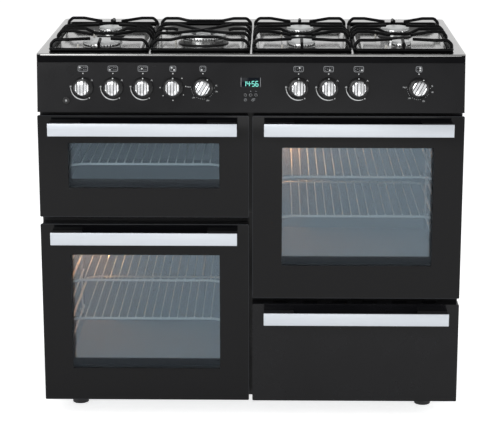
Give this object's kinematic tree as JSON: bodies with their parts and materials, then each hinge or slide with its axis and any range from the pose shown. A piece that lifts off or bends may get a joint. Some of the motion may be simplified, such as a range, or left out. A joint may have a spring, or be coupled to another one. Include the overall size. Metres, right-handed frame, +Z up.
{
  "type": "range cooker",
  "caption": "Black range cooker: gas hob over a grill oven, a main oven, a tall oven and a storage drawer, with drop-down glass doors and bar handles.",
  "frame": {"origin": "floor, under the middle of the whole width and depth", "axes": "+X to the cooker's right as seen from the front, +Y to its back, +Z up"},
  "size_m": [1, 0.64, 0.9279],
  "materials": {
    "black_enamel": "gloss enamel on pressed steel",
    "stainless": "pressed stainless, satin",
    "galvanised": "galvanised sheet",
    "oven_enamel": "grey vitreous enamel",
    "door_pane": "float glass, black printed border",
    "aluminium_bar": "anodised, satin",
    "chrome_cap": "plated cap on a black skirt",
    "chromed_wire": "chromed wire",
    "black_plastic": "moulded",
    "control_plastic": "moulded",
    "seal_rubber": "silicone",
    "mineral_wool": "blanket",
    "enamelled_bar": "black enamel",
    "burner_metal": "die-cast",
    "cap_enamel": "enamelled cap",
    "lamp_glass": "lamp lens",
    "brass_tap": "machined"
  },
  "bodies": {
    "cabinet": {"back_panel": "galvanised", "base_pan": "galvanised", "burner_bodies": "burner_metal", "burner_caps": "cap_enamel", "control_panel": "black_enamel", "door_hinges": "galvanised", "door_seals": "seal_rubber", "drawer_rails": "galvanised", "fan_covers": "oven_enamel", "fan_motors": "galvanised", "front_frame": "black_enamel", "gas_manifold": "brass_tap", "heating_elements": "galvanised", "hob_front_trim": "black_enamel", "hob_top": "stainless", "levelling_feet": "control_plastic", "oven_cavity_main_left": "oven_enamel", "oven_cavity_right": "oven_enamel", "oven_cavity_top_left": "oven_enamel", "oven_controls": "control_plastic", "oven_insulation": "mineral_wool", "oven_lamps": "lamp_glass", "oven_shelves": "chromed_wire", "pan_supports": "enamelled_bar", "shelf_rails": "chromed_wire", "side_panels": "black_enamel", "terminal_box": "galvanised"},
    "door_top_left": {"top_left_door_glass": "door_pane", "top_left_door_frame": "black_enamel", "top_left_door_handle": "aluminium_bar"},
    "door_main_left": {"main_left_door_glass": "door_pane", "main_left_door_frame": "black_enamel", "main_left_door_handle": "aluminium_bar"},
    "door_right": {"right_door_glass": "door_pane", "right_door_frame": "black_enamel", "right_door_handle": "aluminium_bar"},
    "drawer": {"drawer_front": "black_enamel", "drawer_tray": "galvanised", "drawer_handle": "aluminium_bar"},
    "hob_spindle_1": {"hob_spindle_1": "galvanised"},
    "hob_knob_1": {"hob_knob_1": "chrome_cap"},
    "hob_spindle_2": {"hob_spindle_2": "galvanised"},
    "hob_knob_2": {"hob_knob_2": "chrome_cap"},
    "hob_spindle_3": {"hob_spindle_3": "galvanised"},
    "hob_knob_3": {"hob_knob_3": "chrome_cap"},
    "hob_spindle_4": {"hob_spindle_4": "galvanised"},
    "hob_knob_4": {"hob_knob_4": "chrome_cap"},
    "hob_spindle_5": {"hob_spindle_5": "galvanised"},
    "hob_knob_5": {"hob_knob_5": "chrome_cap"},
    "hob_spindle_6": {"hob_spindle_6": "galvanised"},
    "hob_knob_6": {"hob_knob_6": "chrome_cap"},
    "selector_knob": {"selector_knob": "chrome_cap"},
    "grill_thermostat_knob": {"grill_thermostat_knob": "chrome_cap"},
    "right_thermostat_knob": {"right_thermostat_knob": "chrome_cap"},
    "timer_button_1": {"timer_button_1": "black_plastic"},
    "timer_button_2": {"timer_button_2": "black_plastic"},
    "timer_button_3": {"timer_button_3": "black_plastic"},
    "ignition_button": {"ignition_button": "black_plastic"},
    "fan_impeller_main_left": {"fan_impeller_main_left": "galvanised"},
    "fan_impeller_right": {"fan_impeller_right": "galvanised"}
  },
  "joints": [
    {"name": "door_top_left_hinge", "type": "hinge", "parent": "cabinet", "child": "door_top_left", "pos_m": [-0.252, -0.262, 0.5235], "axis": [1, 0, 0], "range_deg": [0, 90], "stiffness_Nm_per_rad": 1.5, "springref_deg": -22.92},
    {"name": "door_main_left_hinge", "type": "hinge", "parent": "cabinet", "child": "door_main_left", "pos_m": [-0.252, -0.262, 0.064], "axis": [1, 0, 0], "range_deg": [0, 90], "stiffness_Nm_per_rad": 5, "springref_deg": -17.19},
    {"name": "door_right_hinge", "type": "hinge", "parent": "cabinet", "child": "door_right", "pos_m": [0.252, -0.262, 0.324], "axis": [1, 0, 0], "range_deg": [0, 90], "stiffness_Nm_per_rad": 5, "springref_deg": -17.19},
    {"name": "drawer_slide", "type": "slide", "parent": "cabinet", "child": "drawer", "axis": [0, -1, 0], "range_m": [0, 0.328]},
    {"name": "hob_push_1", "type": "slide", "parent": "cabinet", "child": "hob_spindle_1", "axis": [0, 0.9927, -0.1203], "range_m": [0, 0.003], "stiffness_N_per_m": 500, "springref_m": -0.001},
    {"name": "hob_turn_1", "type": "hinge", "parent": "hob_spindle_1", "child": "hob_knob_1", "pos_m": [-0.3915, -0.273, 0.82225], "axis": [0, -0.9927, 0.1203], "range_deg": [0, 210]},
    {"name": "hob_push_2", "type": "slide", "parent": "cabinet", "child": "hob_spindle_2", "axis": [0, 0.9927, -0.1203], "range_m": [0, 0.003], "stiffness_N_per_m": 500, "springref_m": -0.001},
    {"name": "hob_turn_2", "type": "hinge", "parent": "hob_spindle_2", "child": "hob_knob_2", "pos_m": [-0.3215, -0.273, 0.82225], "axis": [0, -0.9927, 0.1203], "range_deg": [0, 210]},
    {"name": "hob_push_3", "type": "slide", "parent": "cabinet", "child": "hob_spindle_3", "axis": [0, 0.9927, -0.1203], "range_m": [0, 0.003], "stiffness_N_per_m": 500, "springref_m": -0.001},
    {"name": "hob_turn_3", "type": "hinge", "parent": "hob_spindle_3", "child": "hob_knob_3", "pos_m": [-0.2515, -0.273, 0.82225], "axis": [0, -0.9927, 0.1203], "range_deg": [0, 210]},
    {"name": "hob_push_4", "type": "slide", "parent": "cabinet", "child": "hob_spindle_4", "axis": [0, 0.9927, -0.1203], "range_m": [0, 0.003], "stiffness_N_per_m": 500, "springref_m": -0.001},
    {"name": "hob_turn_4", "type": "hinge", "parent": "hob_spindle_4", "child": "hob_knob_4", "pos_m": [0.1115, -0.273, 0.82225], "axis": [0, -0.9927, 0.1203], "range_deg": [0, 210]},
    {"name": "hob_push_5", "type": "slide", "parent": "cabinet", "child": "hob_spindle_5", "axis": [0, 0.9927, -0.1203], "range_m": [0, 0.003], "stiffness_N_per_m": 500, "springref_m": -0.001},
    {"name": "hob_turn_5", "type": "hinge", "parent": "hob_spindle_5", "child": "hob_knob_5", "pos_m": [0.1815, -0.273, 0.82225], "axis": [0, -0.9927, 0.1203], "range_deg": [0, 210]},
    {"name": "hob_push_6", "type": "slide", "parent": "cabinet", "child": "hob_spindle_6", "axis": [0, 0.9927, -0.1203], "range_m": [0, 0.003], "stiffness_N_per_m": 500, "springref_m": -0.001},
    {"name": "hob_turn_6", "type": "hinge", "parent": "hob_spindle_6", "child": "hob_knob_6", "pos_m": [0.2515, -0.273, 0.82225], "axis": [0, -0.9927, 0.1203], "range_deg": [0, 210]},
    {"name": "selector_turn", "type": "hinge", "parent": "cabinet", "child": "selector_knob", "pos_m": [-0.1815, -0.273, 0.82225], "axis": [0, -0.9927, 0.1203], "range_deg": [-300, 0]},
    {"name": "grill_thermostat_turn", "type": "hinge", "parent": "cabinet", "child": "grill_thermostat_knob", "pos_m": [-0.1115, -0.273, 0.82225], "axis": [0, -0.9927, 0.1203], "range_deg": [-242, 30]},
    {"name": "right_thermostat_turn", "type": "hinge", "parent": "cabinet", "child": "right_thermostat_knob", "pos_m": [0.3915, -0.273, 0.82225], "axis": [0, -0.9927, 0.1203], "range_deg": [-242, 30]},
    {"name": "timer_push_1", "type": "slide", "parent": "cabinet", "child": "timer_button_1", "axis": [0, 0.9927, -0.1203], "range_m": [0, 0.0015], "stiffness_N_per_m": 400, "springref_m": -0.001},
    {"name": "timer_push_2", "type": "slide", "parent": "cabinet", "child": "timer_button_2", "axis": [0, 0.9927, -0.1203], "range_m": [0, 0.0015], "stiffness_N_per_m": 400, "springref_m": -0.001},
    {"name": "timer_push_3", "type": "slide", "parent": "cabinet", "child": "timer_button_3", "axis": [0, 0.9927, -0.1203], "range_m": [0, 0.0015], "stiffness_N_per_m": 400, "springref_m": -0.001},
    {"name": "ignition_push", "type": "slide", "parent": "cabinet", "child": "ignition_button", "axis": [0, 0.9927, -0.1203], "range_m": [0, 0.003], "stiffness_N_per_m": 400, "springref_m": -0.001},
    {"name": "fan_spin_main_left", "type": "hinge", "parent": "cabinet", "child": "fan_impeller_main_left", "pos_m": [-0.252, 0.176, 0.2765], "axis": [0, -1, 0], "continuous": true},
    {"name": "fan_spin_right", "type": "hinge", "parent": "cabinet", "child": "fan_impeller_right", "pos_m": [0.252, 0.176, 0.53775], "axis": [0, -1, 0], "continuous": true}
  ]
}
